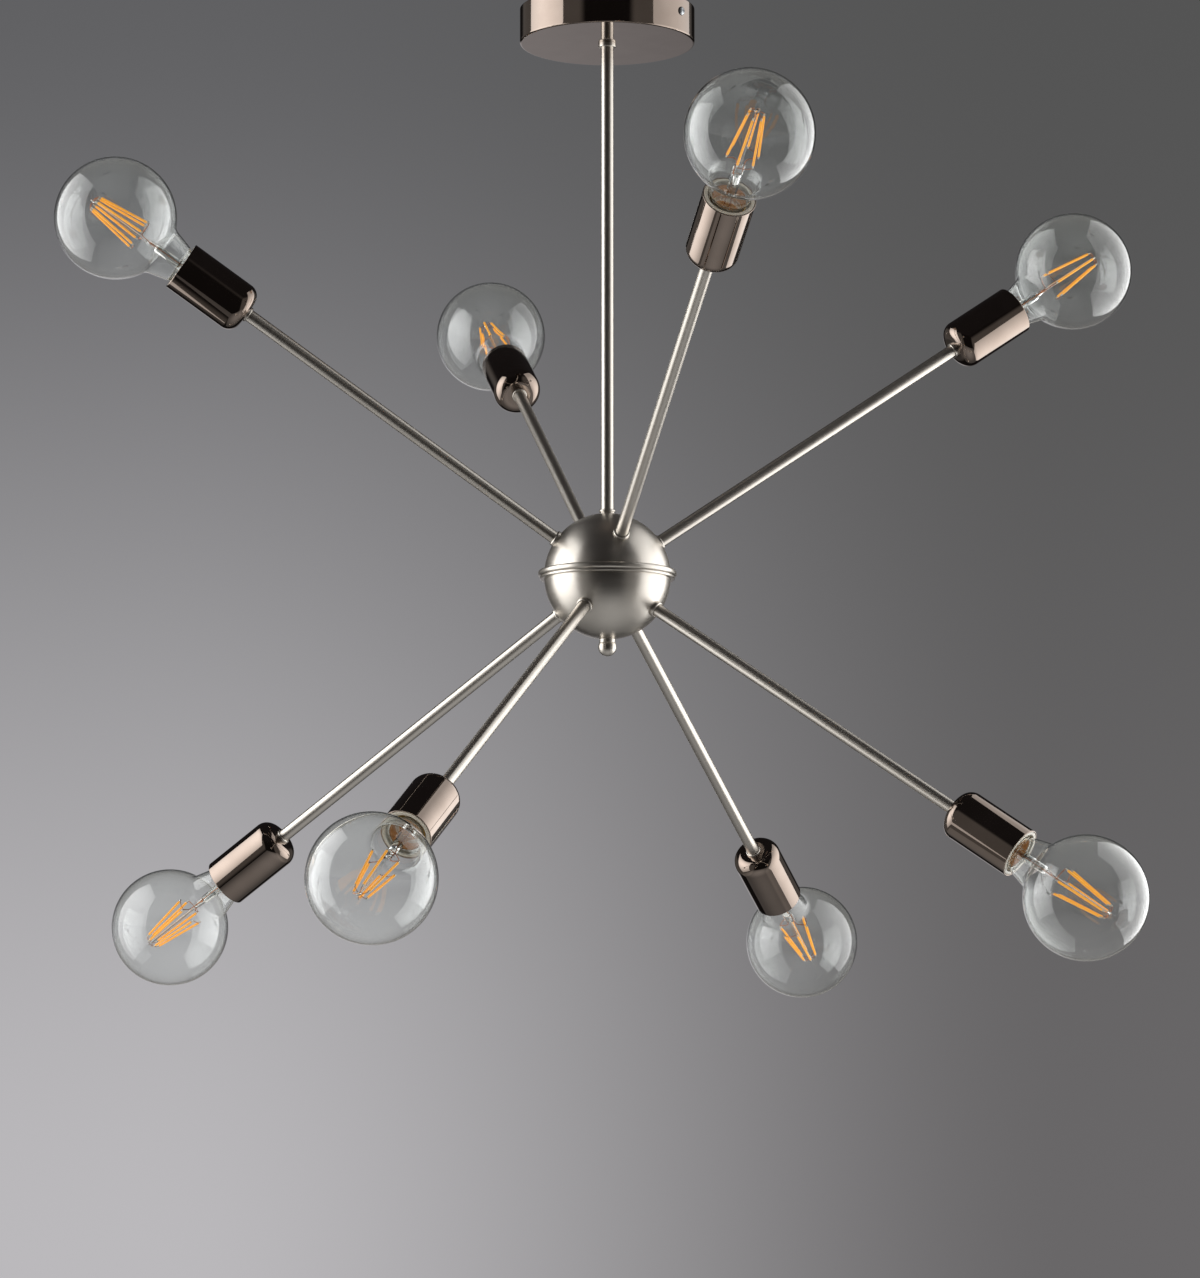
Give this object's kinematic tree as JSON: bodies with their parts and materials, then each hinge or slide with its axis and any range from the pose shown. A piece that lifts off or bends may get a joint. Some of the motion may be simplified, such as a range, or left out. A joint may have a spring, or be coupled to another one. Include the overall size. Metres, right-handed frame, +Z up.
{
  "type": "sputnik chandelier",
  "caption": "Ceiling light with a ball hub on a straight stem, staggered straight arms above and below, metal cups and clear globe bulbs with lit filaments.",
  "frame": {"origin": "on the ceiling plane, centre of the bracket's two ceiling-screw holes, on the stem's axis", "axes": "+Z up into the ceiling, the light hangs down -Z; -Y is the side that faces the viewer; +X is the viewer's right"},
  "size_m": [0.8562, 0.8562, 0.7713],
  "materials": {
    "satin_nickel": "satin brushed nickel",
    "black_nickel": "polished black nickel",
    "zinc_plated_steel": "zinc plated",
    "terminal_plastic": "moulded, matt",
    "lampholder_porcelain": "glazed off-white",
    "socket_brass": "plain brass",
    "clear_glass": "clear",
    "cap_metal": "nickel-plated brass, rolled thread",
    "led_phosphor": "lit amber phosphor"
  },
  "bodies": {
    "hanging_frame": {"ceiling_bracket": "zinc_plated_steel", "terminal_block": "terminal_plastic", "canopy": "black_nickel", "canopy_side_screws": "zinc_plated_steel", "stem": "satin_nickel", "stem_collars": "satin_nickel", "centre_nuts": "zinc_plated_steel", "upper_hub_shell": "satin_nickel", "hub_yoke": "zinc_plated_steel", "hub_rod": "zinc_plated_steel", "upper_arm_collars": "satin_nickel", "upper_arm_nuts": "zinc_plated_steel", "upper_holder_bodies": "lampholder_porcelain", "upper_holder_contacts": "socket_brass", "upper_arm_1": "satin_nickel", "upper_cup_1": "black_nickel", "upper_arm_2": "satin_nickel", "upper_cup_2": "black_nickel", "upper_arm_3": "satin_nickel", "upper_cup_3": "black_nickel", "upper_arm_4": "satin_nickel", "upper_cup_4": "black_nickel"},
    "lower_hub": {"lower_hub_shell": "satin_nickel", "lower_arm_collars": "satin_nickel", "lower_arm_nuts": "zinc_plated_steel", "lower_holder_bodies": "lampholder_porcelain", "lower_holder_contacts": "socket_brass", "lower_arm_1": "satin_nickel", "lower_cup_1": "black_nickel", "lower_arm_2": "satin_nickel", "lower_cup_2": "black_nickel", "lower_arm_3": "satin_nickel", "lower_cup_3": "black_nickel", "lower_arm_4": "satin_nickel", "lower_cup_4": "black_nickel"},
    "finial": {"finial": "satin_nickel"},
    "upper_bulb_1": {"upper_bulb_glass_1": "clear_glass", "upper_bulb_cap_1": "cap_metal", "upper_bulb_filaments_1": "led_phosphor"},
    "upper_bulb_2": {"upper_bulb_glass_2": "clear_glass", "upper_bulb_cap_2": "cap_metal", "upper_bulb_filaments_2": "led_phosphor"},
    "upper_bulb_3": {"upper_bulb_glass_3": "clear_glass", "upper_bulb_cap_3": "cap_metal", "upper_bulb_filaments_3": "led_phosphor"},
    "upper_bulb_4": {"upper_bulb_glass_4": "clear_glass", "upper_bulb_cap_4": "cap_metal", "upper_bulb_filaments_4": "led_phosphor"},
    "lower_bulb_1": {"lower_bulb_glass_1": "clear_glass", "lower_bulb_cap_1": "cap_metal", "lower_bulb_filaments_1": "led_phosphor"},
    "lower_bulb_2": {"lower_bulb_glass_2": "clear_glass", "lower_bulb_cap_2": "cap_metal", "lower_bulb_filaments_2": "led_phosphor"},
    "lower_bulb_3": {"lower_bulb_glass_3": "clear_glass", "lower_bulb_cap_3": "cap_metal", "lower_bulb_filaments_3": "led_phosphor"},
    "lower_bulb_4": {"lower_bulb_glass_4": "clear_glass", "lower_bulb_cap_4": "cap_metal", "lower_bulb_filaments_4": "led_phosphor"}
  },
  "joints": [
    {"name": "lower_hub_turn", "type": "hinge", "parent": "hanging_frame", "child": "lower_hub", "pos_m": [0, 0, -0.458], "axis": [0, 0, 1], "range_deg": [-45, 45]},
    {"name": "finial_unscrew", "type": "slide", "parent": "hanging_frame", "child": "finial", "axis": [0, 0, -1], "range_m": [0, 0.012]},
    {"name": "upper_bulb_1_unscrew", "type": "slide", "parent": "hanging_frame", "child": "upper_bulb_1", "axis": [0.2146, -0.8008, 0.5592], "range_m": [0, 0.03]},
    {"name": "upper_bulb_2_unscrew", "type": "slide", "parent": "hanging_frame", "child": "upper_bulb_2", "axis": [0.8008, 0.2146, 0.5592], "range_m": [0, 0.03]},
    {"name": "upper_bulb_3_unscrew", "type": "slide", "parent": "hanging_frame", "child": "upper_bulb_3", "axis": [-0.2146, 0.8008, 0.5592], "range_m": [0, 0.03]},
    {"name": "upper_bulb_4_unscrew", "type": "slide", "parent": "hanging_frame", "child": "upper_bulb_4", "axis": [-0.8008, -0.2146, 0.5592], "range_m": [0, 0.03]},
    {"name": "lower_bulb_1_unscrew", "type": "slide", "parent": "lower_hub", "child": "lower_bulb_1", "axis": [-0.3504, -0.7514, -0.5592], "range_m": [0, 0.03]},
    {"name": "lower_bulb_2_unscrew", "type": "slide", "parent": "lower_hub", "child": "lower_bulb_2", "axis": [0.7514, -0.3504, -0.5592], "range_m": [0, 0.03]},
    {"name": "lower_bulb_3_unscrew", "type": "slide", "parent": "lower_hub", "child": "lower_bulb_3", "axis": [0.3504, 0.7514, -0.5592], "range_m": [0, 0.03]},
    {"name": "lower_bulb_4_unscrew", "type": "slide", "parent": "lower_hub", "child": "lower_bulb_4", "axis": [-0.7514, 0.3504, -0.5592], "range_m": [0, 0.03]}
  ]
}
